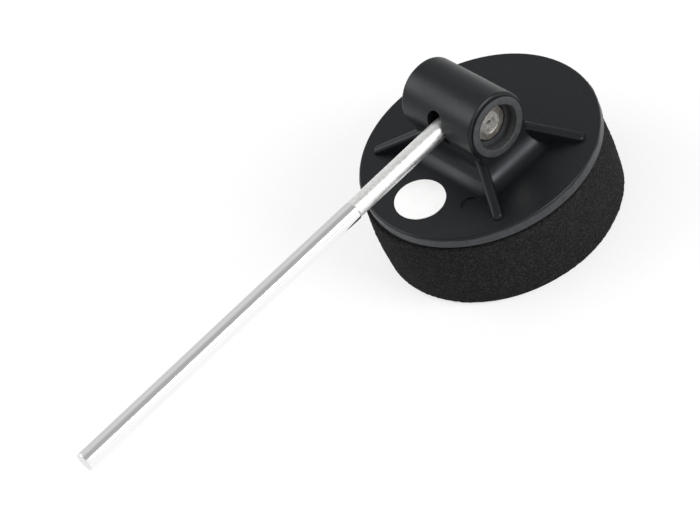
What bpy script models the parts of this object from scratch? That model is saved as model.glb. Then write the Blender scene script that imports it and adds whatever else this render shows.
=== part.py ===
"""Cajon mallet: a swivelling foam beater head on a steel rod.

A round plastic head carries a housing with two collared bushes. A steel barrel turns in
the bushes, and the rod is locked in the barrel's cross hole by a grub screw. A thick foam
disc is stuck under the head. Metres, +Z up. The origin is on the foam's striking face,
straight under the middle of the head, and +X runs along the barrel towards the end of
the housing that shows the barrel's turned face. The rod leaves along -Y.
"""

import math

import bmesh
import bpy
from mathutils import Matrix, Vector

MM = 0.001

# Clearance between pieces, and how far a cutter runs past what it cuts
SEAT_GAP = 0.3 * MM
CUT_OVERRUN = 6.0 * MM

# Foam pad, cut to the plate, and the film that holds it
FOAM_INSET = 0.2 * MM
FOAM_THICKNESS = 30.0 * MM
FOAM_BULGE = 0.7 * MM
FOAM_EDGE = 2.0 * MM
FOAM_OFFSET_Y = -1.2 * MM
FILM_THICKNESS = 0.4 * MM
FILM_MARGIN = 2.5 * MM

# Round plate of the head
PLATE_RADIUS = 47.5 * MM
PLATE_THICKNESS = 4.8 * MM
PLATE_EDGE_RADIUS = 0.9 * MM
PLATE_LOWER_CHAMFER = 0.25 * MM

# Housing on the plate
AXIS_HEIGHT = 20.0 * MM
HOUSING_RADIUS = 13.6 * MM
HOUSING_LENGTH = 38.6 * MM
HOUSING_EDGE_RADIUS = 1.1 * MM
HOUSING_BORE_RADIUS = 11.0 * MM
PEDESTAL_HALF_WIDTH = 11.8 * MM
FLARE_RADIUS = 7.5 * MM
FLARE_BITE = 0.03 * MM

# Core pockets that open under the plate
POCKET_LENGTH = 13.0 * MM
POCKET_WIDTH = 14.0 * MM
POCKET_WEB = 3.0 * MM
POCKET_ROOF = 3.0 * MM
POCKET_CORNER_RADIUS = 1.5 * MM

# Four ribs from the corners of the housing to the plate
RIB_THICKNESS = 3.9 * MM
RIB_ROOT_HEIGHT = 9.2 * MM
RIB_TIP_HEIGHT = 1.3 * MM
RIB_REACH = 42.4 * MM
RIB_INSERTION = 12.8 * MM
RIB_ANGLE = math.radians(33.5)
RIB_EDGE_RADIUS = 1.3 * MM

# Round moulding mark in the plate
GATE_RADIUS = 3.6 * MM
GATE_DEPTH = 0.6 * MM
GATE_PLACE = Vector((19.3 * MM, -23.6 * MM))

# Oval label
LABEL_HALF_LENGTH = 10.8 * MM
LABEL_HALF_WIDTH = 9.6 * MM
LABEL_THICKNESS = 0.3 * MM
LABEL_RECESS = 0.3 * MM
LABEL_PLACE_Y = -31.8 * MM

# Collared bushes
COLLAR_RADIUS = 12.0 * MM
COLLAR_THICKNESS = 0.8 * MM
COLLAR_CHAMFER = 0.35 * MM
RECESS_RADIUS = 9.05 * MM
RECESS_CHAMFER = 0.4 * MM
RECESS_DEPTH = 5.2 * MM
GROOVE_RADIUS = 9.6 * MM
GROOVE_START = 3.0 * MM
BEARING_LENGTH = 8.2 * MM

# Barrel
BARREL_RADIUS = 7.35 * MM
BARREL_CHAMFER = 0.5 * MM
FACE_SPOT_RADIUS = 4.5 * MM
FACE_SPOT_DEPTH = 0.2 * MM
CENTRE_MARK_RADIUS = 0.8 * MM

# Rod
ROD_RADIUS = 4.0 * MM
NECK_RADIUS = 3.7 * MM
ROD_REACH = 198.0 * MM
NECK_REACH = 58.5 * MM
NECK_SHOULDER = 0.6 * MM
NECK_INSERTION = 5.4 * MM
ROD_END_CHAMFER = 0.5 * MM

# Grub screw that locks the rod in the barrel
SCREW_RADIUS = 2.2 * MM
SCREW_LENGTH = 8.0 * MM
SCREW_SOCKET_WIDTH = 2.5 * MM
SCREW_SOCKET_DEPTH = 3.0 * MM
SCREW_CHAMFER = 0.4 * MM

# Swing of the rod about the barrel, up and down
SWING_UP = math.radians(20.0)
SWING_DOWN = math.radians(15.0)

# Smoothness of round pieces
PLATE_STEPS = 96
ROUND_STEPS = 48
EDGE_STEPS = 3
FLARE_STEPS = 7

# Sizes, heights and places worked out from the sizes above
FOAM_RADIUS = PLATE_RADIUS - FOAM_INSET
FILM_BOTTOM = FOAM_THICKNESS + SEAT_GAP
PLATE_BOTTOM = FILM_BOTTOM + FILM_THICKNESS + SEAT_GAP
PLATE_TOP = PLATE_BOTTOM + PLATE_THICKNESS
AXIS_Z = PLATE_TOP + AXIS_HEIGHT
HOUSING_END = HOUSING_LENGTH / 2
COLLAR_SEAT = HOUSING_END + SEAT_GAP
COLLAR_FACE = COLLAR_SEAT + COLLAR_THICKNESS
BARREL_END = COLLAR_FACE - RECESS_DEPTH
BEARING_END = BARREL_END - BEARING_LENGTH
SLOT_HALF_WIDTH = ROD_RADIUS + SEAT_GAP


def clear_scene():
    """Empty the scene of what a new file holds."""
    for item in list(bpy.data.objects):
        bpy.data.objects.remove(item, do_unlink=True)


def new_collection(name):
    collection = bpy.data.collections.new(name)
    bpy.context.scene.collection.children.link(collection)
    return collection


def make_material(name, colour, roughness, metallic=0.0):
    material = bpy.data.materials.new(name)
    material.use_nodes = True
    shader = material.node_tree.nodes["Principled BSDF"]
    shader.inputs["Base Color"].default_value = (*colour, 1.0)
    shader.inputs["Roughness"].default_value = roughness
    shader.inputs["Metallic"].default_value = metallic
    return material


def add_object(name, mesh, collection, material=None):
    item = bpy.data.objects.new(name, mesh)
    collection.objects.link(item)
    if material is not None:
        mesh.materials.append(material)
    return item


def smooth(item, angle=math.radians(32)):
    item.data.shade_smooth()
    item.data.set_sharp_from_angle(angle=angle)


def turned(name, profile, axis, steps, collection, material=None):
    """A closed turned piece from (radius, height) points, given from top to bottom.

    The height runs along the chosen axis, "X", "Y" or "Z". The profile starts and ends
    on the axis, or closes on itself round a bore.
    """
    mesh = bpy.data.meshes.new(name)
    closed = profile[0][0] > 0
    points = [(radius, 0.0, height) for radius, height in profile]
    edges = [(i, i + 1) for i in range(len(points) - 1)]
    if closed:
        edges.append((len(points) - 1, 0))
    mesh.from_pydata(points, edges, [])
    item = add_object(name, mesh, collection, material)
    screw = item.modifiers.new("turn", "SCREW")
    screw.axis = "Z"
    screw.angle = math.tau
    screw.steps = steps
    screw.render_steps = steps
    screw.use_merge_vertices = True
    screw.merge_threshold = 0.00001
    bake_modifiers(item)
    if axis == "X":
        item.data.transform(Matrix.Rotation(math.pi / 2, 4, "Y"))
    if axis == "Y":
        item.data.transform(Matrix.Rotation(-math.pi / 2, 4, "X"))
    smooth(item)
    return item


def bake_modifiers(item):
    """Replace an object's mesh by the mesh that its modifiers give."""
    bpy.context.view_layer.update()
    graph = bpy.context.evaluated_depsgraph_get()
    mesh = bpy.data.meshes.new_from_object(item.evaluated_get(graph))
    old = item.data
    item.modifiers.clear()
    item.data = mesh
    mesh.name = old.name
    bpy.data.meshes.remove(old)


def extruded(name, outline, depth, collection, material=None):
    """A flat outline in the XY plane, thickened evenly to both sides of it along Z."""
    curve = bpy.data.curves.new(name, "CURVE")
    curve.dimensions = "2D"
    curve.fill_mode = "BOTH"
    curve.extrude = depth / 2
    spline = curve.splines.new("POLY")
    spline.points.add(len(outline) - 1)
    for point, (x, y) in zip(spline.points, outline):
        point.co = (x, y, 0.0, 1.0)
    spline.use_cyclic_u = True
    source = bpy.data.objects.new(name, curve)
    bpy.context.scene.collection.objects.link(source)
    bpy.context.view_layer.update()
    graph = bpy.context.evaluated_depsgraph_get()
    mesh = bpy.data.meshes.new_from_object(source.evaluated_get(graph))
    bpy.data.objects.remove(source, do_unlink=True)
    bpy.data.curves.remove(curve)
    work = bmesh.new()
    work.from_mesh(mesh)
    bmesh.ops.remove_doubles(work, verts=work.verts, dist=0.000001)
    bmesh.ops.dissolve_limit(work, angle_limit=0.001, verts=work.verts, edges=work.edges)
    bmesh.ops.recalc_face_normals(work, faces=work.faces)
    work.to_mesh(mesh)
    work.free()
    return add_object(name, mesh, collection, material)


def stand_across(item):
    """Turn a piece drawn in XY so that its X lies along Y, its Y along Z, its depth along X."""
    across = Matrix(((0, 0, 1, 0), (1, 0, 0, 0), (0, 1, 0, 0), (0, 0, 0, 1)))
    item.data.transform(across)


def stand_facing(item):
    """Turn a piece drawn in XY so that its Y lies along Z and its depth along Y."""
    item.data.transform(Matrix.Rotation(math.pi / 2, 4, "X"))


def soften(item, width, segments, angle=math.radians(40)):
    """Round the edges that are sharper than an angle."""
    bevel = item.modifiers.new("rounded edges", "BEVEL")
    bevel.width = width
    bevel.segments = segments
    bevel.limit_method = "ANGLE"
    bevel.angle_limit = angle
    bevel.use_clamp_overlap = True


def combine(item, other, operation):
    """Join another solid to a piece, or cut it away, as a live modifier."""
    boolean = item.modifiers.new(f"{operation.lower()} {other.name}", "BOOLEAN")
    boolean.operation = operation
    boolean.solver = "EXACT"
    boolean.object = other


def arc(centre_x, centre_y, radius, start, end, steps):
    """Points along an arc, both ends included."""
    points = []
    for i in range(steps + 1):
        angle = start + (end - start) * i / steps
        points.append((centre_x + radius * math.cos(angle), centre_y + radius * math.sin(angle)))
    return points


def obround(half_width, bottom, top, steps):
    """A slot outline with round ends, centred on x = 0."""
    upper = arc(0.0, top - half_width, half_width, 0.0, math.pi, steps)
    lower = arc(0.0, bottom + half_width, half_width, math.pi, math.tau, steps)
    return upper + lower


def rounded_rectangle(half_x, half_y, corner, steps):
    """A rectangle outline with round corners, anticlockwise."""
    points = []
    centres = [(1, 1, 0.0), (-1, 1, math.pi / 2), (-1, -1, math.pi), (1, -1, 1.5 * math.pi)]
    for sign_x, sign_y, start in centres:
        x = sign_x * (half_x - corner)
        y = sign_y * (half_y - corner)
        points += arc(x, y, corner, start, start + math.pi / 2, steps)
    return points


def plate_solid(collection, material):
    """The round plate, with a rounded upper edge."""
    edge = arc(
        PLATE_RADIUS - PLATE_EDGE_RADIUS,
        PLATE_TOP - PLATE_EDGE_RADIUS,
        PLATE_EDGE_RADIUS,
        math.pi / 2,
        0.0,
        EDGE_STEPS + 1,
    )
    lower = [
        (PLATE_RADIUS, PLATE_BOTTOM + PLATE_LOWER_CHAMFER),
        (PLATE_RADIUS - PLATE_LOWER_CHAMFER, PLATE_BOTTOM),
    ]
    profile = [(0.0, PLATE_TOP)] + edge + lower + [(0.0, PLATE_BOTTOM)]
    return turned("head_shell", profile, "Z", PLATE_STEPS, collection, material)


def housing_solid(collection):
    """The housing: a round top on two flat flanks, with rounded ends."""
    dip = -math.acos(PEDESTAL_HALF_WIDTH / HOUSING_RADIUS)
    foot = -AXIS_HEIGHT - PLATE_THICKNESS / 2
    outline = [(-PEDESTAL_HALF_WIDTH, foot), (PEDESTAL_HALF_WIDTH, foot)]
    outline += arc(0.0, 0.0, HOUSING_RADIUS, dip, math.pi - dip, ROUND_STEPS * 3 // 4)
    item = extruded("housing_block", outline, HOUSING_LENGTH, collection)
    stand_across(item)
    item.data.transform(Matrix.Translation((0.0, 0.0, AXIS_Z)))
    soften(item, HOUSING_EDGE_RADIUS, EDGE_STEPS)
    return item


def flare_solid(collection):
    """The concave sweep between the housing's foot and the plate.

    Each ring is the foot's outline moved outwards by R (1 - cos a), at the height
    R (1 - sin a) over the plate, for a from 0 to a quarter turn.
    """
    rings = []
    for i in range(FLARE_STEPS + 1):
        angle = math.pi / 2 * i / FLARE_STEPS
        offset = FLARE_RADIUS * (1 - math.cos(angle)) - FLARE_BITE
        height = FLARE_RADIUS * (1 - math.sin(angle)) - FLARE_BITE
        rings.append((offset, PLATE_TOP + height))
    rings.append((rings[-1][0], PLATE_TOP - PLATE_THICKNESS / 2))
    mesh = bpy.data.meshes.new("foot_flare")
    work = bmesh.new()
    loops = []
    for offset, height in rings:
        outline = rounded_rectangle(
            HOUSING_END + offset,
            PEDESTAL_HALF_WIDTH + offset,
            HOUSING_EDGE_RADIUS + offset + FLARE_BITE,
            EDGE_STEPS + 2,
        )
        loops.append([work.verts.new((x, y, height)) for x, y in outline])
    work.faces.new(loops[0])
    work.faces.new(list(reversed(loops[-1])))
    count = len(loops[0])
    for upper, lower in zip(loops, loops[1:]):
        for i in range(count):
            j = (i + 1) % count
            work.faces.new((upper[i], lower[i], lower[j], upper[j]))
    work.to_mesh(mesh)
    work.free()
    return add_object("foot_flare", mesh, collection)


def rib_solid(number, angle, collection):
    """One rib: a sloping wedge with a rounded back, from inside the housing to its tip."""
    corner_distance = math.hypot(HOUSING_END, PEDESTAL_HALF_WIDTH)
    slope = (RIB_ROOT_HEIGHT - RIB_TIP_HEIGHT) / (RIB_REACH - corner_distance)
    inside = corner_distance - RIB_INSERTION
    root = RIB_ROOT_HEIGHT + slope * RIB_INSERTION
    sunk = -PLATE_THICKNESS / 2
    outline = [(inside, sunk), (RIB_REACH, sunk), (RIB_REACH, RIB_TIP_HEIGHT), (inside, root)]
    item = extruded(f"rib_{number}", outline, RIB_THICKNESS, collection)
    stand_facing(item)
    soften(item, RIB_EDGE_RADIUS, EDGE_STEPS)
    bake_modifiers(item)
    place = Matrix.Translation((0.0, 0.0, PLATE_TOP)) @ Matrix.Rotation(angle, 4, "Z")
    item.data.transform(place)
    return item


def slot_cutter(collection):
    """The slot that the rod swings in, as tall as its swing needs at the housing's wall."""
    wall = HOUSING_RADIUS
    top = wall * math.sin(SWING_UP + math.asin(SLOT_HALF_WIDTH / wall))
    bottom = -wall * math.sin(SWING_DOWN + math.asin(SLOT_HALF_WIDTH / wall)) - SEAT_GAP
    inner = HOUSING_BORE_RADIUS - HOUSING_BORE_RADIUS / 2
    outer = HOUSING_RADIUS + CUT_OVERRUN
    outline = obround(SLOT_HALF_WIDTH, bottom, top, ROUND_STEPS // 4)
    item = extruded("rod_slot", outline, outer - inner, collection)
    stand_facing(item)
    item.data.transform(Matrix.Translation((0.0, -(inner + outer) / 2, AXIS_Z)))
    return item


def build_head(parts, tools, material):
    """The moulded head: plate, housing, flare and ribs in one piece, then its cuts."""
    head = plate_solid(parts, material)
    additions = [housing_solid(tools), flare_solid(tools)]
    for number, turn in enumerate((RIB_ANGLE, math.pi - RIB_ANGLE)):
        additions.append(rib_solid(2 * number + 1, turn, tools))
        additions.append(rib_solid(2 * number + 2, turn + math.pi, tools))
    for item in additions:
        combine(head, item, "UNION")

    bore_end = HOUSING_END + CUT_OVERRUN
    bore = turned(
        "housing_bore",
        [(0.0, bore_end), (HOUSING_BORE_RADIUS, bore_end),
         (HOUSING_BORE_RADIUS, -bore_end), (0.0, -bore_end)],
        "X", ROUND_STEPS, tools)
    bore.data.transform(Matrix.Translation((0.0, 0.0, AXIS_Z)))
    cuts = [bore, slot_cutter(tools)]

    pocket_top = AXIS_Z - HOUSING_BORE_RADIUS - POCKET_ROOF
    pocket_height = pocket_top - PLATE_BOTTOM + CUT_OVERRUN
    for name, side in (("core_pocket_left", -1), ("core_pocket_right", 1)):
        outline = rounded_rectangle(
            POCKET_LENGTH / 2, POCKET_WIDTH / 2, POCKET_CORNER_RADIUS, EDGE_STEPS
        )
        pocket = extruded(name, outline, pocket_height, tools)
        shift = side * (POCKET_WEB + POCKET_LENGTH) / 2
        pocket.data.transform(Matrix.Translation((shift, 0.0, pocket_top - pocket_height / 2)))
        cuts.append(pocket)

    gate = turned(
        "gate_recess",
        [(0.0, GATE_DEPTH), (GATE_RADIUS, GATE_DEPTH), (GATE_RADIUS, -GATE_DEPTH),
         (0.0, -GATE_DEPTH)],
        "Z", ROUND_STEPS // 2, tools)
    gate.data.transform(Matrix.Translation((GATE_PLACE.x, GATE_PLACE.y, PLATE_TOP)))
    cuts.append(gate)

    label_seat = label_solid("label_recess", SEAT_GAP, 2 * LABEL_RECESS, PLATE_TOP, tools)
    cuts.append(label_seat)
    for item in cuts:
        combine(head, item, "DIFFERENCE")
    bake_modifiers(head)
    smooth(head)
    return head


def label_solid(name, margin, thickness, middle, collection, material=None):
    """An oval disc over the label's place, wider than the label by a margin."""
    outline = []
    for i in range(ROUND_STEPS):
        angle = math.tau * i / ROUND_STEPS
        x = (LABEL_HALF_LENGTH + margin) * math.cos(angle)
        y = LABEL_PLACE_Y + (LABEL_HALF_WIDTH + margin) * math.sin(angle)
        outline.append((x, y))
    item = extruded(name, outline, thickness, collection, material)
    item.data.transform(Matrix.Translation((0.0, 0.0, middle)))
    return item


def build_label(parts, material):
    """The blank oval sticker, seated in its shallow recess."""
    bottom = PLATE_TOP - LABEL_RECESS + SEAT_GAP
    middle = bottom + LABEL_THICKNESS / 2
    return label_solid("oval_label", 0.0, LABEL_THICKNESS, middle, parts, material)


def build_foam(parts, material):
    """The foam disc: slightly full sides and soft edges, flat where it strikes."""
    profile = [(0.0, FOAM_THICKNESS), (FOAM_RADIUS, FOAM_THICKNESS)]
    straight = FOAM_THICKNESS - FOAM_EDGE
    steps = 6
    for i in range(1, steps + 1):
        down = i / steps
        radius = FOAM_RADIUS + FOAM_BULGE * math.sin(math.pi * down)
        profile.append((radius, FOAM_THICKNESS - straight * down))
    profile += arc(FOAM_RADIUS - FOAM_EDGE, FOAM_EDGE, FOAM_EDGE, 0.0, -math.pi / 2, 4)[1:]
    profile.append((0.0, 0.0))
    item = turned("foam_pad", profile, "Z", PLATE_STEPS, parts, material)
    item.data.transform(Matrix.Translation((0.0, FOAM_OFFSET_Y, 0.0)))
    return item


def build_film(parts, material):
    """The double-sided film between the plate and the foam."""
    radius = PLATE_RADIUS - FILM_MARGIN
    top = FILM_BOTTOM + FILM_THICKNESS
    profile = [(0.0, top), (radius, top), (radius, FILM_BOTTOM), (0.0, FILM_BOTTOM)]
    return turned("adhesive_film", profile, "Z", ROUND_STEPS, parts, material)


def build_bush(name, side, parts, material):
    """A collared bush: collar on the housing's end, recess, groove and bearing bore."""
    sleeve = HOUSING_BORE_RADIUS - SEAT_GAP
    bearing = BARREL_RADIUS + SEAT_GAP
    profile = [
        (RECESS_RADIUS + RECESS_CHAMFER, COLLAR_FACE),
        (COLLAR_RADIUS - COLLAR_CHAMFER, COLLAR_FACE),
        (COLLAR_RADIUS, COLLAR_FACE - COLLAR_CHAMFER),
        (COLLAR_RADIUS, COLLAR_SEAT),
        (sleeve, COLLAR_SEAT),
        (sleeve, BEARING_END),
        (bearing, BEARING_END),
        (bearing, BARREL_END),
        (GROOVE_RADIUS, BARREL_END),
        (GROOVE_RADIUS, COLLAR_FACE - GROOVE_START),
        (RECESS_RADIUS, COLLAR_FACE - GROOVE_START),
        (RECESS_RADIUS, COLLAR_FACE - RECESS_CHAMFER),
    ]
    item = turned(name, profile, "X", ROUND_STEPS, parts, material)
    if side < 0:
        item.data.transform(Matrix.Rotation(math.pi, 4, "Z"))
    item.data.transform(Matrix.Translation((0.0, 0.0, AXIS_Z)))
    return item


def build_barrel(parts, tools, material):
    """The steel barrel: turned near face, cross hole for the rod, screw hole from the far end."""
    profile = [
        (0.0, BARREL_END - FACE_SPOT_DEPTH - CENTRE_MARK_RADIUS),
        (CENTRE_MARK_RADIUS, BARREL_END - FACE_SPOT_DEPTH),
        (FACE_SPOT_RADIUS, BARREL_END - FACE_SPOT_DEPTH),
        (FACE_SPOT_RADIUS + FACE_SPOT_DEPTH, BARREL_END),
        (BARREL_RADIUS - BARREL_CHAMFER, BARREL_END),
        (BARREL_RADIUS, BARREL_END - BARREL_CHAMFER),
        (BARREL_RADIUS, -BARREL_END + BARREL_CHAMFER),
        (BARREL_RADIUS - BARREL_CHAMFER, -BARREL_END),
        (0.0, -BARREL_END),
    ]
    barrel = turned("pivot_barrel", profile, "X", ROUND_STEPS, parts, material)

    hole_radius = NECK_RADIUS + SEAT_GAP
    hole_end = NECK_INSERTION + SEAT_GAP
    cross = turned(
        "cross_hole",
        [(0.0, hole_end), (hole_radius, hole_end),
         (hole_radius, -BARREL_RADIUS - CUT_OVERRUN), (0.0, -BARREL_RADIUS - CUT_OVERRUN)],
        "Y", ROUND_STEPS // 2, tools)
    screw_hole = SCREW_RADIUS + SEAT_GAP
    far_end = -BARREL_END - CUT_OVERRUN
    tapped = turned(
        "screw_hole",
        [(0.0, 0.0), (screw_hole, 0.0), (screw_hole, far_end), (0.0, far_end)],
        "X", ROUND_STEPS // 2, tools)
    combine(barrel, cross, "DIFFERENCE")
    combine(barrel, tapped, "DIFFERENCE")
    bake_modifiers(barrel)
    smooth(barrel)
    return barrel


def build_rod(parts, material):
    """The rod: plated shank, and a slimmer satin neck that goes into the barrel."""
    profile = [
        (0.0, NECK_INSERTION),
        (NECK_RADIUS - ROD_END_CHAMFER, NECK_INSERTION),
        (NECK_RADIUS, NECK_INSERTION - ROD_END_CHAMFER),
        (NECK_RADIUS, -NECK_REACH + NECK_SHOULDER),
        (ROD_RADIUS, -NECK_REACH),
        (ROD_RADIUS, -ROD_REACH + ROD_END_CHAMFER),
        (ROD_RADIUS - ROD_END_CHAMFER, -ROD_REACH),
        (0.0, -ROD_REACH),
    ]
    return turned("beater_rod", profile, "Y", ROUND_STEPS, parts, material)


def build_screw(parts, tools, material):
    """The grub screw, its point against the rod's neck and its socket towards the far end."""
    tip = -(NECK_RADIUS + SEAT_GAP)
    end = tip - SCREW_LENGTH
    profile = [
        (0.0, tip),
        (SCREW_RADIUS - SCREW_CHAMFER, tip),
        (SCREW_RADIUS, tip - SCREW_CHAMFER),
        (SCREW_RADIUS, end + SCREW_CHAMFER),
        (SCREW_RADIUS - SCREW_CHAMFER, end),
        (0.0, end),
    ]
    screw = turned("locking_screw", profile, "X", ROUND_STEPS // 2, parts, material)
    corner = SCREW_SOCKET_WIDTH / math.sqrt(3)
    outline = [(corner * math.cos(math.tau * i / 6), corner * math.sin(math.tau * i / 6))
               for i in range(6)]
    socket = extruded("hex_socket", outline, 2 * SCREW_SOCKET_DEPTH, tools)
    stand_across(socket)
    socket.data.transform(Matrix.Translation((end, 0.0, 0.0)))
    combine(screw, socket, "DIFFERENCE")
    bake_modifiers(screw)
    smooth(screw)
    return screw


def build():
    clear_scene()
    parts = new_collection("cajon_mallet")
    tools = new_collection("cutters")

    black_plastic = make_material("black moulded plastic", (0.020, 0.021, 0.023), 0.45)
    bush_plastic = make_material("matt bush plastic", (0.055, 0.057, 0.060), 0.62)
    foam = make_material("black cell foam", (0.018, 0.018, 0.019), 0.95)
    film = make_material("clear film", (0.60, 0.58, 0.50), 0.35)
    steel = make_material("turned steel", (0.56, 0.54, 0.50), 0.35, 1.0)
    plated = make_material("plated steel", (0.80, 0.80, 0.80), 0.15, 1.0)
    screw_steel = make_material("black screw steel", (0.05, 0.05, 0.05), 0.40, 0.8)
    white = make_material("white label", (0.88, 0.88, 0.87), 0.40)

    build_head(parts, tools, black_plastic)
    build_label(parts, white)
    build_film(parts, film)
    build_foam(parts, foam)
    build_bush("near_bush", 1, parts, bush_plastic)
    build_bush("far_bush", -1, parts, bush_plastic)

    pivot = bpy.data.objects.new("pivot_axis", None)
    pivot.location = (0.0, 0.0, AXIS_Z)
    parts.objects.link(pivot)
    moving = [
        build_barrel(parts, tools, steel),
        build_rod(parts, plated),
        build_screw(parts, tools, screw_steel),
    ]
    for item in moving:
        item.parent = pivot

    for item in tools.objects:
        item.hide_render = True
        item.display_type = "WIRE"


build()
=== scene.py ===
"""Looks of the cajon mallet: a foam beater head that swivels on a plated steel rod."""

import math

import bmesh
import bpy
import numpy as np
from mathutils import Matrix, Vector


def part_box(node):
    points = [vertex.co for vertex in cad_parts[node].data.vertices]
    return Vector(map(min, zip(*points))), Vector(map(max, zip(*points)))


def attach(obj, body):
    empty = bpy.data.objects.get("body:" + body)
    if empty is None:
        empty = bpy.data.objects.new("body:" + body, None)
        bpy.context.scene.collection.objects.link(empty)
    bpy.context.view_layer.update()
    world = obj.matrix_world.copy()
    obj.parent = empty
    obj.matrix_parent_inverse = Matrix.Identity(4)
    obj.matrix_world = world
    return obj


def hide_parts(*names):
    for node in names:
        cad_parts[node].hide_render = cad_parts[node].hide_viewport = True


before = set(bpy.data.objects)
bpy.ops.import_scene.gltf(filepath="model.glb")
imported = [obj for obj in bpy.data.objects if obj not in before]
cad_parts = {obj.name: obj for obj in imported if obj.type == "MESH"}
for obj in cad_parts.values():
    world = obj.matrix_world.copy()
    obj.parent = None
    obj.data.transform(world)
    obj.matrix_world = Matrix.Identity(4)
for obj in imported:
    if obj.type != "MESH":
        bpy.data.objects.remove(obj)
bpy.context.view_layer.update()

scene = bpy.context.scene
scene.view_settings.view_transform = "Standard"


# Camera
# The photograph is a long-lens product shot from above the near end of the housing,
# rolled so that the rod runs down to the lower left corner.
MM = 0.001
CAMERA_AZIMUTH = math.radians(65.53)
CAMERA_ELEVATION = math.radians(42.68)
CAMERA_ROLL = math.radians(-26.15)
CAMERA_DISTANCE = 1851 * MM
CAMERA_TARGET = Vector((-1.29 * MM, -68.32 * MM, 35.8 * MM))
SENSOR_WIDTH = 36.0
PICTURE_WIDTH = 700
FOCAL_PIXELS = 5000

back = Vector((
    math.sin(CAMERA_AZIMUTH) * math.cos(CAMERA_ELEVATION),
    -math.cos(CAMERA_AZIMUTH) * math.cos(CAMERA_ELEVATION),
    math.sin(CAMERA_ELEVATION),
))
level_right = Vector((math.cos(CAMERA_AZIMUTH), math.sin(CAMERA_AZIMUTH), 0.0))
level_up = back.cross(level_right)
right = level_right * math.cos(CAMERA_ROLL) + level_up * math.sin(CAMERA_ROLL)
up = level_up * math.cos(CAMERA_ROLL) - level_right * math.sin(CAMERA_ROLL)
camera_data = bpy.data.cameras.new("camera")
camera_data.sensor_width = SENSOR_WIDTH
camera_data.lens = SENSOR_WIDTH * FOCAL_PIXELS / PICTURE_WIDTH
camera = bpy.data.objects.new("camera", camera_data)
camera.matrix_world = Matrix.Translation(CAMERA_TARGET + back * CAMERA_DISTANCE) @ Matrix(
    (right, up, back)
).transposed().to_4x4()
scene.collection.objects.link(camera)
scene.camera = camera


# Studio
# A white sweep under the mallet, a soft surround that is darker overhead, and two large
# soft lamps: one at the near end of the housing, one at the rod's left.
FLOOR_SIZE = 6.0
FLOOR_DROP = 0.1 * MM
FLOOR_COLOUR = (0.97, 0.97, 0.97, 1.0)
FLOOR_WHITE_SHARE = 0.66
# Pairs of degrees round the rod's axis, from -180 to 180, and the brightness there.
SURROUND = (
    (-180, 0.62), (-90, 0.80), (-40, 1.00), (36, 1.00), (47, 0.80), (56, 0.46),
    (80, 0.42), (98, 0.55), (112, 0.70), (180, 0.64),
)


def seen_ray(tree):
    """One where the ray comes from the camera, or through a mirror or glass surface."""
    light_path = tree.nodes.new("ShaderNodeLightPath")
    direct_or_mirrored = tree.nodes.new("ShaderNodeMath")
    direct_or_mirrored.operation = "MAXIMUM"
    or_through_glass = tree.nodes.new("ShaderNodeMath")
    or_through_glass.operation = "MAXIMUM"
    tree.links.new(light_path.outputs["Is Camera Ray"], direct_or_mirrored.inputs[0])
    tree.links.new(light_path.outputs["Is Glossy Ray"], direct_or_mirrored.inputs[1])
    tree.links.new(direct_or_mirrored.outputs[0], or_through_glass.inputs[0])
    tree.links.new(light_path.outputs["Is Transmission Ray"], or_through_glass.inputs[1])
    return or_through_glass.outputs[0]


def multiplied(tree, first, second):
    """The product of a value and a second value or number."""
    node = tree.nodes.new("ShaderNodeMath")
    node.operation = "MULTIPLY"
    tree.links.new(first, node.inputs[0])
    if isinstance(second, float):
        node.inputs[1].default_value = second
    else:
        tree.links.new(second, node.inputs[1])
    return node.outputs[0]


def floor_material():
    """A matt white floor, with a share of plain white where it is seen or mirrored."""
    material = bpy.data.materials.new("white_sweep")
    material.use_nodes = True
    tree = material.node_tree
    tree.nodes.clear()
    diffuse = tree.nodes.new("ShaderNodeBsdfDiffuse")
    diffuse.inputs["Color"].default_value = FLOOR_COLOUR
    white = tree.nodes.new("ShaderNodeEmission")
    mix = tree.nodes.new("ShaderNodeMixShader")
    tree.links.new(multiplied(tree, seen_ray(tree), FLOOR_WHITE_SHARE), mix.inputs[0])
    tree.links.new(diffuse.outputs[0], mix.inputs[1])
    tree.links.new(white.outputs[0], mix.inputs[2])
    output = tree.nodes.new("ShaderNodeOutputMaterial")
    tree.links.new(mix.outputs[0], output.inputs["Surface"])
    return material


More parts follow.
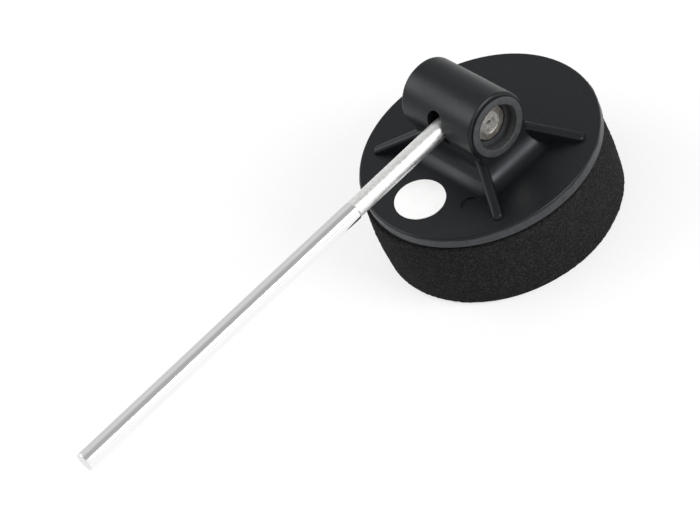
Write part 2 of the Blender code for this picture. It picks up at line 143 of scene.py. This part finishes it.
def surround_world():
    """Brightness by the angle round the rod's axis, and plain white for the camera."""
    world = bpy.data.worlds.new("studio")
    world.use_nodes = True
    tree = world.node_tree
    tree.nodes.clear()
    coordinates = tree.nodes.new("ShaderNodeTexCoord")
    parts = tree.nodes.new("ShaderNodeSeparateXYZ")
    tree.links.new(coordinates.outputs["Generated"], parts.inputs[0])
    angle = tree.nodes.new("ShaderNodeMath")
    angle.operation = "ARCTAN2"
    tree.links.new(parts.outputs["Z"], angle.inputs[0])
    tree.links.new(parts.outputs["X"], angle.inputs[1])
    share = tree.nodes.new("ShaderNodeMapRange")
    share.inputs["From Min"].default_value = -math.pi
    share.inputs["From Max"].default_value = math.pi
    tree.links.new(angle.outputs[0], share.inputs["Value"])
    ramp = tree.nodes.new("ShaderNodeValToRGB")
    stops = ramp.color_ramp.elements
    for number, (degrees, level) in enumerate(SURROUND):
        place = (degrees + 180) / 360
        if number < len(stops):
            stop = stops[number]
            stop.position = place
        else:
            stop = stops.new(place)
        stop.color = (level, level, level, 1.0)
    tree.links.new(share.outputs["Result"], ramp.inputs[0])
    around = tree.nodes.new("ShaderNodeBackground")
    tree.links.new(ramp.outputs[0], around.inputs["Color"])
    white = tree.nodes.new("ShaderNodeBackground")
    white.inputs["Color"].default_value = (1.0, 1.0, 1.0, 1.0)
    mix = tree.nodes.new("ShaderNodeMixShader")
    light_path = tree.nodes.new("ShaderNodeLightPath")
    tree.links.new(light_path.outputs["Is Camera Ray"], mix.inputs[0])
    tree.links.new(around.outputs[0], mix.inputs[1])
    tree.links.new(white.outputs[0], mix.inputs[2])
    output = tree.nodes.new("ShaderNodeOutputWorld")
    tree.links.new(mix.outputs[0], output.inputs["Surface"])
    return world


def soft_lamp(name, direction, distance, width, height, brightness):
    """A soft box that faces the mallet; its power is brightness times pi times its area."""
    data = bpy.data.lights.new(name, "AREA")
    data.shape = "RECTANGLE"
    data.size = width
    data.size_y = height
    data.energy = brightness * math.pi * width * height
    lamp = bpy.data.objects.new(name, data)
    towards = Vector(direction).normalized()
    lamp.location = CAMERA_TARGET + towards * distance
    lamp.rotation_euler = towards.to_track_quat("Z", "Y").to_euler()
    scene.collection.objects.link(lamp)


scene.world = surround_world()
corner = FLOOR_SIZE / 2
floor_mesh = bpy.data.meshes.new("floor")
floor_mesh.from_pydata(
    [(-corner, -corner, -FLOOR_DROP), (corner, -corner, -FLOOR_DROP),
     (corner, corner, -FLOOR_DROP), (-corner, corner, -FLOOR_DROP)],
    [], [(0, 1, 2, 3)],
)
floor_mesh.materials.append(floor_material())
floor = bpy.data.objects.new("floor", floor_mesh)
scene.collection.objects.link(floor)
soft_lamp("near_end_lamp", direction=(0.80, 0.31, 0.50), distance=1.1,
          width=0.55, height=0.42, brightness=10.5)
soft_lamp("left_lamp", direction=(-0.67, -0.40, 0.62), distance=1.1,
          width=0.90, height=0.50, brightness=3.6)


# Foam disc
# Fine black open-cell foam, cut round on a lathe and stuck under the head. Its sides are
# a little full, its lower edge is soft, and its striking face is flat.
FOAM_EDGE = 2.0 * MM
FOAM_BULGE = 0.7 * MM
FOAM_TOP_EDGE = 0.6 * MM
FOAM_GRAIN = 0.11 * MM
FOAM_GRAIN_EVENING = 0.45
FOAM_GRAIN_SEED = 11
FOAM_WAVE = 0.18 * MM
FOAM_FLAT_BELOW = 0.2 * FOAM_EDGE
FOAM_FLAT_ABOVE = 0.1 * MM
FOAM_STEPS = 640
FOAM_SIDE_ROWS = 84
FOAM_EDGE_ROWS = 9
FOAM_FACE_ROWS = 12
FOAM_CELLS_PER_METRE = 1500
FOAM_SHEEN = 0.12
# Painted shade: the hollow colour darkens the middle of each cell, where shade falls in the hollow.
PAINTED_SHADE_CELL_HOLLOW = (0.0010, 0.0010, 0.0011)
CELL_WALL = (0.026, 0.026, 0.0275)
FOAM_DARK_PATCH = (0.005, 0.005, 0.005)


def grid_mesh(name, points):
    """A mesh from a grid of points: rows follow the profile, columns close round it.

    The first and last rows lie on the axis or in one place, and close_mesh joins them.
    """
    rows, columns = points.shape[:2]
    row, column = np.meshgrid(np.arange(rows - 1), np.arange(columns), indexing="ij")
    following = (column + 1) % columns
    faces = np.stack([
        row * columns + column,
        row * columns + following,
        (row + 1) * columns + following,
        (row + 1) * columns + column,
    ], axis=-1).reshape(-1, 4)
    mesh = bpy.data.meshes.new(name)
    mesh.from_pydata(points.reshape(-1, 3).tolist(), [], faces.tolist())
    return mesh


def close_mesh(mesh, sharp_angle):
    """Merge doubles, point the faces outwards and shade smooth up to an angle."""
    work = bmesh.new()
    work.from_mesh(mesh)
    bmesh.ops.remove_doubles(work, verts=work.verts, dist=0.002 * MM)
    bmesh.ops.dissolve_degenerate(work, edges=work.edges, dist=0.001 * MM)
    bmesh.ops.recalc_face_normals(work, faces=work.faces)
    work.to_mesh(mesh)
    work.free()
    mesh.shade_smooth()
    mesh.set_sharp_from_angle(angle=math.radians(sharp_angle))


def add_piece(name, mesh, body, node, material):
    """Put a finished mesh in the scene in place of its CAD node."""
    piece = bpy.data.objects.new(name, mesh)
    scene.collection.objects.link(piece)
    mesh.materials.clear()
    mesh.materials.append(material)
    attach(piece, body)
    if node:
        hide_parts(node)
    return piece


def new_material(name, colour, roughness, metallic=0.0):
    """A Principled material and its tree; what varies is linked in afterwards."""
    material = bpy.data.materials.new(name)
    material.use_nodes = True
    shader = material.node_tree.nodes["Principled BSDF"]
    shader.inputs["Base Color"].default_value = (*colour, 1.0)
    shader.inputs["Roughness"].default_value = roughness
    shader.inputs["Metallic"].default_value = metallic
    return material, material.node_tree, shader


def noise(tree, scale, detail, vector=None):
    """A noise value in object coordinates, or in a mapped copy of them; scale is per metre."""
    texture = tree.nodes.new("ShaderNodeTexNoise")
    texture.inputs["Scale"].default_value = scale
    texture.inputs["Detail"].default_value = detail
    if vector is None:
        vector = tree.nodes.new("ShaderNodeTexCoord").outputs["Object"]
    tree.links.new(vector, texture.inputs["Vector"])
    return texture.outputs["Fac"]


def ranged(tree, value, low, high, from_low=0.3, from_high=0.7):
    """A value moved from one range to another, and held there."""
    node = tree.nodes.new("ShaderNodeMapRange")
    node.inputs["From Min"].default_value = from_low
    node.inputs["From Max"].default_value = from_high
    node.inputs["To Min"].default_value = low
    node.inputs["To Max"].default_value = high
    tree.links.new(value, node.inputs["Value"])
    return node.outputs["Result"]


def blended(tree, factor, first, second):
    """A colour between two colours or colour outputs."""
    node = tree.nodes.new("ShaderNodeMix")
    node.data_type = "RGBA"
    tree.links.new(factor, node.inputs["Factor"])
    for index, colour in ((6, first), (7, second)):
        if isinstance(colour, tuple):
            node.inputs[index].default_value = (*colour, 1.0)
        else:
            tree.links.new(colour, node.inputs[index])
    return node.outputs[2]


def raised(tree, shader, height, distance, strength):
    """A bump from a height value, on top of any bump already there."""
    bump = tree.nodes.new("ShaderNodeBump")
    bump.inputs["Distance"].default_value = distance
    bump.inputs["Strength"].default_value = strength
    tree.links.new(height, bump.inputs["Height"])
    if shader.inputs["Normal"].is_linked:
        tree.links.new(shader.inputs["Normal"].links[0].from_socket, bump.inputs["Normal"])
    tree.links.new(bump.outputs["Normal"], shader.inputs["Normal"])


def foam_points():
    """The disc as profile rows and turns: radius R + B sin(pi h), edges as quarter arcs.

    Every point of the side moves in or out by two waves round the disc and by a random
    share of the grain, evened with half of its neighbours' shares. Both faces stay flat.
    """
    low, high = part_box("foam_pad")
    centre = (low + high) / 2
    radius = (high.x - low.x) / 2 - FOAM_BULGE
    height = high.z - low.z
    share = np.linspace(0.0, 1.0, FOAM_SIDE_ROWS)
    side_height = high.z - FOAM_TOP_EDGE - share * (height - FOAM_TOP_EDGE - FOAM_EDGE)
    side_radius = radius + FOAM_BULGE * np.sin(math.pi * share)
    turn = np.linspace(0.0, math.pi / 2, FOAM_EDGE_ROWS)
    top_radius = radius - FOAM_TOP_EDGE + FOAM_TOP_EDGE * np.sin(turn)
    top_height = high.z - FOAM_TOP_EDGE + FOAM_TOP_EDGE * np.cos(turn)
    low_radius = radius - FOAM_EDGE + FOAM_EDGE * np.cos(turn)
    low_height = low.z + FOAM_EDGE - FOAM_EDGE * np.sin(turn)
    inward = np.linspace(0.0, 1.0, FOAM_FACE_ROWS)
    profile_radius = np.concatenate([
        (radius - FOAM_TOP_EDGE) * inward[:-1], top_radius, side_radius[1:-1],
        low_radius, (radius - FOAM_EDGE) * (1 - inward[1:]),
    ])
    profile_height = np.concatenate([
        np.full(FOAM_FACE_ROWS - 1, high.z), top_height, side_height[1:-1],
        low_height, np.full(FOAM_FACE_ROWS - 1, low.z),
    ])
    angle = np.linspace(0.0, math.tau, FOAM_STEPS, endpoint=False)
    draw = np.random.default_rng(FOAM_GRAIN_SEED).standard_normal(
        (len(profile_radius), FOAM_STEPS))
    grain = draw + 0.5 * (np.roll(draw, 1, 1) + np.roll(draw, -1, 1))
    grain += 0.5 * (np.roll(draw, 1, 0) + np.roll(draw, -1, 0))
    grain *= FOAM_GRAIN_EVENING
    waves = FOAM_WAVE * (np.sin(3 * angle + 0.6) + 0.6 * np.sin(7 * angle + 2.0))
    above = profile_height > low.z + FOAM_FLAT_BELOW
    below = profile_height < high.z - FOAM_FLAT_ABOVE
    on_side = np.where(above & below, 1.0, 0.0)[:, None]
    out = profile_radius[:, None] + on_side * (waves[None, :] + FOAM_GRAIN * grain)
    return np.stack([
        centre.x + out * np.cos(angle),
        centre.y + out * np.sin(angle),
        np.repeat(profile_height[:, None], FOAM_STEPS, axis=1),
    ], axis=-1)


def foam_material():
    """Painted shade in the cell hollows, between lighter cell walls, with darker patches over them.
    """
    material, tree, shader = new_material("black_cell_foam", (0.015, 0.015, 0.016), roughness=0.95)
    shader.inputs["Specular IOR Level"].default_value = FOAM_SHEEN
    cells = tree.nodes.new("ShaderNodeTexVoronoi")
    cells.inputs["Scale"].default_value = FOAM_CELLS_PER_METRE
    coordinates = tree.nodes.new("ShaderNodeTexCoord")
    tree.links.new(coordinates.outputs["Object"], cells.inputs["Vector"])
    # Painted shade: towards each cell's middle the colour goes to the dark hollow colour.
    wall = ranged(tree, cells.outputs["Distance"], 0.0, 1.0, 0.10, 0.75)
    cell_colour_with_painted_shade = blended(tree, wall, PAINTED_SHADE_CELL_HOLLOW, CELL_WALL)
    patches = ranged(tree, noise(tree, scale=900, detail=2.0), 0.25, 1.0)
    tree.links.new(blended(tree, patches, FOAM_DARK_PATCH, cell_colour_with_painted_shade),
                   shader.inputs["Base Color"])
    raised(tree, shader, cells.outputs["Distance"], distance=0.25 * MM, strength=0.9)
    raised(tree, shader, noise(tree, scale=600, detail=3.0), distance=0.15 * MM, strength=0.5)
    return material


foam_mesh = grid_mesh("foam_disc", foam_points())
close_mesh(foam_mesh, sharp_angle=70)
foam = add_piece("foam_disc", foam_mesh, "head", "foam_pad", foam_material())


# Adhesive film
# A clear double-sided film, punched round, that holds the foam under the head. Only its
# edge can be seen, in the shadow between foam and plate.
THICK_ADHESIVE = (0.42, 0.40, 0.34)
THIN_ADHESIVE = (0.56, 0.54, 0.48)

film_material, film_tree, film_shader = new_material(
    "clear_adhesive", (0.50, 0.48, 0.42), roughness=0.4)
film_patches = ranged(film_tree, noise(film_tree, scale=300, detail=2.0), 0.0, 1.0)
film_tree.links.new(blended(film_tree, film_patches, THICK_ADHESIVE, THIN_ADHESIVE),
                    film_shader.inputs["Base Color"])
raised(film_tree, film_shader, noise(film_tree, scale=900, detail=2.0),
       distance=0.05 * MM, strength=0.3)
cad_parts["adhesive_film"].data.materials.clear()
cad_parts["adhesive_film"].data.materials.append(film_material)


# Head
# One black moulding: round plate, swivel housing, sweeping foot and four ribs. Its top is
# softly polished, and its rim shows the line and the flash where the mould halves met; below
# that line the rim's side is painted a lighter grey, which is painted light.
SPLIT_BELOW_TOP = 1.15 * MM
FLASH_THICKNESS = 0.22 * MM
FLASH_REACH = 0.20 * MM
FLASH_SUNK = 0.04 * MM
FLASH_STEPS = 720
FLASH_SECTION_STEPS = 8
FLASH_SEED = 5
BLACK = (0.0042, 0.0047, 0.0055)
WORN_BLACK = (0.0062, 0.0068, 0.0078)
# Painted light: the rim greys stand for light falling on the rim's side, which is the same black
# plastic.
RIM_PAINTED_LIGHT_GREY = (0.023, 0.0242, 0.0265)
WORN_RIM_PAINTED_LIGHT_GREY = (0.038, 0.0395, 0.0430)
FLASH_BLACK = (0.002, 0.002, 0.002)
TORN_FLASH = (0.012, 0.012, 0.013)
HEAD_SHEEN = 0.28
HEAD_SHEEN_TINT = (0.90, 0.95, 1.0, 1.0)
plate_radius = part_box("head_shell")[1].x
plate_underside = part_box("head_shell")[0].z
# The label's underside is level with the plate's top.
plate_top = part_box("oval_label")[0].z
split_height = plate_top - SPLIT_BELOW_TOP


def merged_copy(name, node, sharp_angle):
    """A CAD node's mesh with its loose triangles joined, for smooth shading."""
    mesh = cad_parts[node].data.copy()
    mesh.name = name
    if mesh.has_custom_normals:
        mesh.attributes.remove(mesh.attributes["custom_normal"])
    close_mesh(mesh, sharp_angle)
    return mesh


def keep_flats_flat(piece):
    """Weight the normals by face area, so that flat faces beside curves stay even."""
    weighted = piece.modifiers.new("even flats", "WEIGHTED_NORMAL")
    weighted.keep_sharp = True
    weighted.weight = 80


def distance_across(tree, place, left_in):
    """The distance from an axis: the length of a place times left_in, which is 0 along it."""
    flatten = tree.nodes.new("ShaderNodeVectorMath")
    flatten.operation = "MULTIPLY"
    flatten.inputs[1].default_value = left_in
    tree.links.new(place, flatten.inputs[0])
    distance = tree.nodes.new("ShaderNodeVectorMath")
    distance.operation = "LENGTH"
    tree.links.new(flatten.outputs[0], distance.inputs[0])
    return distance.outputs["Value"]


def head_material():
    """Black plastic, with painted light: the rim's side below the line where the mould halves met
    is a lighter grey.
    """
    material, tree, shader = new_material("black_moulded_plastic", BLACK, roughness=0.36)
    shader.inputs["Specular IOR Level"].default_value = HEAD_SHEEN
    shader.inputs["Specular Tint"].default_value = HEAD_SHEEN_TINT
    coordinates = tree.nodes.new("ShaderNodeTexCoord").outputs["Object"]
    parts = tree.nodes.new("ShaderNodeSeparateXYZ")
    tree.links.new(coordinates, parts.inputs[0])
    tree.links.new(ranged(tree, noise(tree, scale=70, detail=5.0), 0.34, 0.44),
                   shader.inputs["Roughness"])

    height = parts.outputs["Z"]
    radius = distance_across(tree, coordinates, (1.0, 1.0, 0.0))
    # Painted light: this mask picks the rim's side below the mould line for the lighter grey.
    below_split = ranged(tree, height, 1.0, 0.0,
                         split_height - 0.05 * MM, split_height + 0.05 * MM)
    above_foam = ranged(tree, height, 0.0, 1.0, plate_underside, plate_underside + 0.1 * MM)
    at_rim = ranged(tree, radius, 0.0, 1.0, plate_radius - 0.5 * MM, plate_radius - 0.4 * MM)
    painted_light_rim_side = multiplied(tree, multiplied(tree, below_split, at_rim), above_foam)

    worn = ranged(tree, noise(tree, scale=420, detail=4.0), 0.0, 1.0)
    top_colour = blended(tree, worn, BLACK, WORN_BLACK)
    painted_light_rim_colour = blended(tree, worn, RIM_PAINTED_LIGHT_GREY, WORN_RIM_PAINTED_LIGHT_GREY)
    tree.links.new(blended(tree, painted_light_rim_side, top_colour, painted_light_rim_colour), shader.inputs["Base Color"])
    raised(tree, shader, noise(tree, scale=1800, detail=3.0), distance=0.02 * MM, strength=0.25)
    raised(tree, shader, noise(tree, scale=35, detail=2.0), distance=0.12 * MM, strength=0.20)
    return material


def flash_points():
    """The thin fin at the mould line: an oval section carried round the rim.

    Its reach at each angle is a sum of waves and of seeded draws, each draw added to its
    four neighbours on either side, and never falls below a small share.
    """
    angle = np.linspace(0.0, math.tau, FLASH_STEPS, endpoint=False)
    draw = np.random.default_rng(FLASH_SEED).standard_normal(FLASH_STEPS)
    draw = np.convolve(np.concatenate([draw[-4:], draw, draw[:4]]), np.ones(9) / 4, "valid")
    reach = FLASH_REACH * np.clip(
        0.45 + 0.35 * np.sin(5 * angle + 0.4) + 0.3 * np.sin(13 * angle) + 0.4 * draw, 0.12, 1.5)
    section = np.linspace(0.0, math.tau, FLASH_SECTION_STEPS, endpoint=False)
    out = plate_radius - FLASH_SUNK + reach * np.cos(section)[:, None].clip(-0.3, 1)
    height = split_height + FLASH_THICKNESS / 2 * np.sin(section)[:, None]
    height = np.broadcast_to(height, out.shape)
    points = np.stack([out * np.cos(angle), out * np.sin(angle), height], axis=-1)
    return np.concatenate([points, points[:1]])


head = add_piece("head_moulding", merged_copy("head_moulding", "head_shell", sharp_angle=30),
                 "head", "head_shell", head_material())
keep_flats_flat(head)
flash_mesh = grid_mesh("mould_flash", flash_points())
close_mesh(flash_mesh, sharp_angle=60)
flash_material, flash_tree, flash_shader = new_material(
    "flash_plastic", (0.004, 0.004, 0.004), roughness=0.5)
torn = ranged(flash_tree, noise(flash_tree, scale=500, detail=3.0), 0.0, 1.0)
flash_tree.links.new(blended(flash_tree, torn, FLASH_BLACK, TORN_FLASH),
                     flash_shader.inputs["Base Color"])
add_piece("mould_flash", flash_mesh, "head", None, flash_material)


# Oval label
# A white vinyl sticker in a shallow recess of the plate, cut oval and left blank, with
# the faint waviness of a printed film.
SOILED_VINYL = (0.885, 0.885, 0.88)
CLEAN_VINYL = (0.915, 0.915, 0.91)

label_material, label_tree, label_shader = new_material(
    "white_vinyl", (0.90, 0.90, 0.895), roughness=0.35)
label_patches = ranged(label_tree, noise(label_tree, scale=180, detail=3.0), 0.0, 1.0)
label_tree.links.new(blended(label_tree, label_patches, SOILED_VINYL, CLEAN_VINYL),
                     label_shader.inputs["Base Color"])
raised(label_tree, label_shader, noise(label_tree, scale=120, detail=2.0),
       distance=0.03 * MM, strength=0.25)
add_piece("blank_label", merged_copy("blank_label", "oval_label", sharp_angle=30),
          "head", "oval_label", label_material)


# Bushes
# Two matt plastic bushes with a thin collar, pushed into the housing's ends. The mouth is
# a little ragged where the sprue was cut, and a step inside holds the barrel back.
COLLAR_EDGE = 0.35 * MM
MOUTH_RADIUS = 9.05 * MM
MOUTH_EDGE = 0.4 * MM
STEP_RADIUS = 9.6 * MM
STEP_DEPTH = 3.0 * MM
BARREL_DEPTH = 5.2 * MM
BEARING_RADIUS = 7.65 * MM
SLEEVE_RADIUS = 10.7 * MM
COLLAR_THICKNESS = 0.8 * MM
RAGGED_BY = 0.07 * MM
RAGGED_DEPTH = 1.2 * MM
BUSH_STEPS = 192
ARC_POINTS = 6
BUSH_GREY = (0.021, 0.0224, 0.0245)
RUBBED_BUSH_GREY = (0.038, 0.0400, 0.0430)


def rounded(centre, radius, start, end):
    """Points of a short arc, angles in degrees."""
    angle = np.radians(np.linspace(start, end, ARC_POINTS))
    return np.stack([centre[0] + radius * np.cos(angle), centre[1] + radius * np.sin(angle)], 1)


def bush_points(node, side):
    """The bush as a closed profile (radius, distance along the axis) turned about X.

    The mouth's radius wavers by a sum of waves, as a trimmed edge does, and the waver
    fades with the distance from the mouth's edge.
    """
    low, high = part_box(node)
    face = high.x if side > 0 else -low.x
    inner_end = low.x if side > 0 else -high.x
    outer = (high.z - low.z) / 2
    centre = (high.z + low.z) / 2
    seat = face - COLLAR_THICKNESS
    profile = np.concatenate([
        rounded((MOUTH_RADIUS + MOUTH_EDGE, face - MOUTH_EDGE), MOUTH_EDGE, 180, 90),
        rounded((outer - COLLAR_EDGE, face - COLLAR_EDGE), COLLAR_EDGE, 90, 0),
        [(outer, seat), (SLEEVE_RADIUS, seat), (SLEEVE_RADIUS, inner_end),
         (BEARING_RADIUS, inner_end), (BEARING_RADIUS, face - BARREL_DEPTH),
         (STEP_RADIUS, face - BARREL_DEPTH), (STEP_RADIUS, face - STEP_DEPTH),
         (MOUTH_RADIUS, face - STEP_DEPTH), (MOUTH_RADIUS, face - MOUTH_EDGE)],
    ])
    angle = np.linspace(0.0, math.tau, BUSH_STEPS, endpoint=False)
    ragged = RAGGED_BY * (
        np.sin(6 * angle) + 0.7 * np.sin(17 * angle + 1) + 0.5 * np.sin(31 * angle))
    near_mouth = np.exp(-((profile[:, 0] - MOUTH_RADIUS) / (0.5 * MM)) ** 2)
    near_mouth *= profile[:, 1] > face - RAGGED_DEPTH
    radius = profile[:, :1] + near_mouth[:, None] * ragged[None, :]
    return np.stack([
        side * np.repeat(profile[:, 1:], BUSH_STEPS, axis=1),
        radius * np.cos(angle) * side,
        centre + radius * np.sin(angle),
    ], axis=-1)


def bush_material():
    """Dark grey plastic, lighter where it has been rubbed, with a fine and a broad grain."""
    material, tree, shader = new_material("matt_bush_plastic", (0.020, 0.021, 0.023), roughness=0.6)
    rubbed = ranged(tree, noise(tree, scale=500, detail=4.0), 0.0, 1.0)
    tree.links.new(blended(tree, rubbed, BUSH_GREY, RUBBED_BUSH_GREY),
                   shader.inputs["Base Color"])
    tree.links.new(ranged(tree, noise(tree, scale=240, detail=3.0), 0.50, 0.68),
                   shader.inputs["Roughness"])
    raised(tree, shader, noise(tree, scale=1500, detail=3.0), distance=0.05 * MM, strength=0.4)
    raised(tree, shader, noise(tree, scale=160, detail=2.0), distance=0.12 * MM, strength=0.4)
    return material


bush_finish = bush_material()
for bush_name, bush_side in (("near_bush", 1), ("far_bush", -1)):
    bush_mesh = grid_mesh(f"{bush_name}_moulding", bush_points(bush_name, bush_side))
    close_mesh(bush_mesh, sharp_angle=40)
    add_piece(f"{bush_name}_moulding", bush_mesh, "head", bush_name, bush_finish)


# Barrel
# A turned steel cylinder that swivels in the bushes. Its near face keeps the tool's rings,
# and its colour carries a painted highlight spot, painted shade for the centre dimple, and a
# band of painted shade round the spot.
RINGS_PER_METRE = 2600
# The spot is a painted highlight; the centre mark is painted shade for the centre dimple.
PAINTED_HIGHLIGHT_SPOT_RADIUS = 4.5 * MM
CENTRE_DIMPLE_PAINTED_SHADE_RADIUS = 0.7 * MM
FACE_SOFT_EDGE = 0.3 * MM
# Painted light and shade: band colours are painted shade round the spot, spot colours a painted
# highlight, the centre mark colour painted shade for the dimple; the clean ones vary with stains.
PAINTED_SHADE_BAND_STEEL = (0.20, 0.185, 0.160)
CLEAN_PAINTED_SHADE_BAND_STEEL = (0.40, 0.375, 0.335)
PAINTED_HIGHLIGHT_SPOT_STEEL = (0.42, 0.40, 0.365)
CLEAN_PAINTED_HIGHLIGHT_SPOT_STEEL = (0.70, 0.68, 0.64)
CENTRE_DIMPLE_PAINTED_SHADE_STEEL = (0.10, 0.092, 0.080)


def barrel_material():
    """Turned steel: rings as a sine of the distance from the axis, stains, a painted highlight
    spot, painted shade round it and painted shade in the centre dimple.
    """
    material, tree, shader = new_material(
        "turned_steel", (0.42, 0.40, 0.36), roughness=0.42, metallic=1.0)
    low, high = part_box("pivot_barrel")
    coordinates = tree.nodes.new("ShaderNodeTexCoord").outputs["Object"]
    centred = tree.nodes.new("ShaderNodeVectorMath")
    centred.operation = "SUBTRACT"
    centred.inputs[1].default_value = (0.0, 0.0, (low.z + high.z) / 2)
    tree.links.new(coordinates, centred.inputs[0])
    radius = distance_across(tree, centred.outputs[0], (0.0, 1.0, 1.0))
    rings = tree.nodes.new("ShaderNodeMath")
    rings.operation = "SINE"
    tree.links.new(multiplied(tree, radius, RINGS_PER_METRE * math.tau), rings.inputs[0])
    # Painted light and shade: a bright spot in the face's middle, a dark centre for the dimple's
    # shade, and a darker band round them.
    in_painted_highlight_spot = ranged(tree, radius, 1.0, 0.0,
                     PAINTED_HIGHLIGHT_SPOT_RADIUS - FACE_SOFT_EDGE, PAINTED_HIGHLIGHT_SPOT_RADIUS + FACE_SOFT_EDGE)
    in_centre_dimple_painted_shade = ranged(tree, radius, 1.0, 0.0,
                     CENTRE_DIMPLE_PAINTED_SHADE_RADIUS, CENTRE_DIMPLE_PAINTED_SHADE_RADIUS + FACE_SOFT_EDGE)
    clean = ranged(tree, noise(tree, scale=650, detail=5.0), 0.0, 1.0)
    painted_shade_band_colour = blended(tree, clean, PAINTED_SHADE_BAND_STEEL, CLEAN_PAINTED_SHADE_BAND_STEEL)
    painted_highlight_spot_colour = blended(tree, clean, PAINTED_HIGHLIGHT_SPOT_STEEL, CLEAN_PAINTED_HIGHLIGHT_SPOT_STEEL)
    painted_light_and_shade_face_colour = blended(tree, in_painted_highlight_spot, painted_shade_band_colour, painted_highlight_spot_colour)
    tree.links.new(blended(tree, in_centre_dimple_painted_shade, painted_light_and_shade_face_colour, CENTRE_DIMPLE_PAINTED_SHADE_STEEL),
                   shader.inputs["Base Color"])
    tree.links.new(ranged(tree, noise(tree, scale=900, detail=3.0), 0.30, 0.55),
                   shader.inputs["Roughness"])
    raised(tree, shader, rings.outputs[0], distance=0.03 * MM, strength=0.35)
    raised(tree, shader, noise(tree, scale=700, detail=4.0), distance=0.12 * MM, strength=0.6)
    return material


barrel = add_piece("turned_barrel", merged_copy("turned_barrel", "pivot_barrel", sharp_angle=25),
                   "shaft", "pivot_barrel", barrel_material())
keep_flats_flat(barrel)


# Rod
# Round bar, ground and plated to a mirror, with a slimmer neck left satin where it was
# turned to fit the barrel's cross hole. The free end is cut square and its edge rounded.
NECK_RADIUS = 3.7 * MM
NECK_REACH = 58.5 * MM
NECK_SHOULDER = 0.6 * MM
ROD_EDGE = 0.5 * MM
NECK_ROWS = 40
NECK_ROWS_START = 1.5 * MM
BAR_ROWS = 60
BAR_ROWS_START = 0.3 * MM
ROD_STEPS = 128
SATIN_STEEL = (0.80, 0.80, 0.79)
BRIGHT_SATIN_STEEL = (0.93, 0.93, 0.92)
PLATING = (0.88, 0.88, 0.88)
BRIGHT_PLATING = (0.93, 0.93, 0.93)
SAWN_STEEL = (0.72, 0.72, 0.72)


def rod_points():
    """The rod as a profile (radius, place along Y) turned about its axis: a neck, a short
    cone at the shoulder, the full bar, and a quarter arc at the free end's edge.
    """
    low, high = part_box("beater_rod")
    centre = (high.z + low.z) / 2
    radius = (high.z - low.z) / 2
    neck_end = -NECK_REACH + NECK_SHOULDER
    profile = np.concatenate([
        [(0.0, high.y), (NECK_RADIUS - ROD_EDGE, high.y), (NECK_RADIUS, high.y - ROD_EDGE)],
        np.stack([np.full(NECK_ROWS, NECK_RADIUS),
                  np.linspace(high.y - NECK_ROWS_START, neck_end, NECK_ROWS)], 1),
        [(radius, -NECK_REACH)],
        np.stack([np.full(BAR_ROWS, radius),
                  np.linspace(-NECK_REACH - BAR_ROWS_START, low.y + ROD_EDGE, BAR_ROWS)], 1),
        rounded((radius - ROD_EDGE, low.y + ROD_EDGE), ROD_EDGE, 0, -90),
        [(0.0, low.y)],
    ])
    angle = np.linspace(0.0, math.tau, ROD_STEPS, endpoint=False)
    return np.stack([
        profile[:, :1] * np.cos(angle),
        np.repeat(profile[:, 1:], ROD_STEPS, axis=1),
        centre + profile[:, :1] * np.sin(angle),
    ], axis=-1)


def rod_material():
    """Mirror plating with streaks drawn out along Y, a grainy satin neck and a sawn end."""
    material, tree, shader = new_material("plated_steel", PLATING, roughness=0.1, metallic=1.0)
    free_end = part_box("beater_rod")[0].y
    coordinates = tree.nodes.new("ShaderNodeTexCoord").outputs["Object"]
    parts = tree.nodes.new("ShaderNodeSeparateXYZ")
    tree.links.new(coordinates, parts.inputs[0])
    neck = ranged(tree, parts.outputs["Y"], 0.0, 1.0,
                  -NECK_REACH - 0.1 * MM, -NECK_REACH + 0.3 * MM)
    end_face = ranged(tree, parts.outputs["Y"], 1.0, 0.0,
                      free_end + 0.05 * MM, free_end + 0.10 * MM)
    grain = noise(tree, scale=900, detail=5.0)
    streak_space = tree.nodes.new("ShaderNodeMapping")
    streak_space.inputs["Scale"].default_value = (1.0, 0.03, 1.0)
    tree.links.new(coordinates, streak_space.inputs["Vector"])
    streaks = noise(tree, scale=1600, detail=3.0, vector=streak_space.outputs[0])
    satin = ranged(tree, grain, 0.38, 0.50)
    mirror = ranged(tree, streaks, 0.05, 0.12)
    rough = tree.nodes.new("ShaderNodeMix")
    tree.links.new(neck, rough.inputs["Factor"])
    tree.links.new(mirror, rough.inputs[2])
    tree.links.new(satin, rough.inputs[3])
    tree.links.new(rough.outputs[0], shader.inputs["Roughness"])
    neck_colour = blended(tree, ranged(tree, grain, 0.0, 1.0), SATIN_STEEL, BRIGHT_SATIN_STEEL)
    bar_colour = blended(tree, ranged(tree, streaks, 0.0, 1.0), PLATING, BRIGHT_PLATING)
    side_colour = blended(tree, neck, bar_colour, neck_colour)
    tree.links.new(blended(tree, end_face, side_colour, SAWN_STEEL), shader.inputs["Base Color"])
    raised(tree, shader, multiplied(tree, neck, grain), distance=0.03 * MM, strength=0.45)
    return material


rod_mesh = grid_mesh("plated_rod", rod_points())
close_mesh(rod_mesh, sharp_angle=25)
add_piece("plated_rod", rod_mesh, "shaft", "beater_rod", rod_material())


# Locking screw
# A blackened grub screw with a hexagon socket, hidden in the barrel. It holds the rod.
screw_material, screw_tree, screw_shader = new_material(
    "blackened_steel", (0.05, 0.05, 0.05), roughness=0.4, metallic=0.9)
screw_tree.links.new(ranged(screw_tree, noise(screw_tree, scale=900, detail=3.0), 0.3, 0.5),
                     screw_shader.inputs["Roughness"])
raised(screw_tree, screw_shader, noise(screw_tree, scale=1500, detail=2.0),
       distance=0.03 * MM, strength=0.3)
add_piece("grub_screw", merged_copy("grub_screw", "locking_screw", sharp_angle=25),
          "shaft", "locking_screw", screw_material)
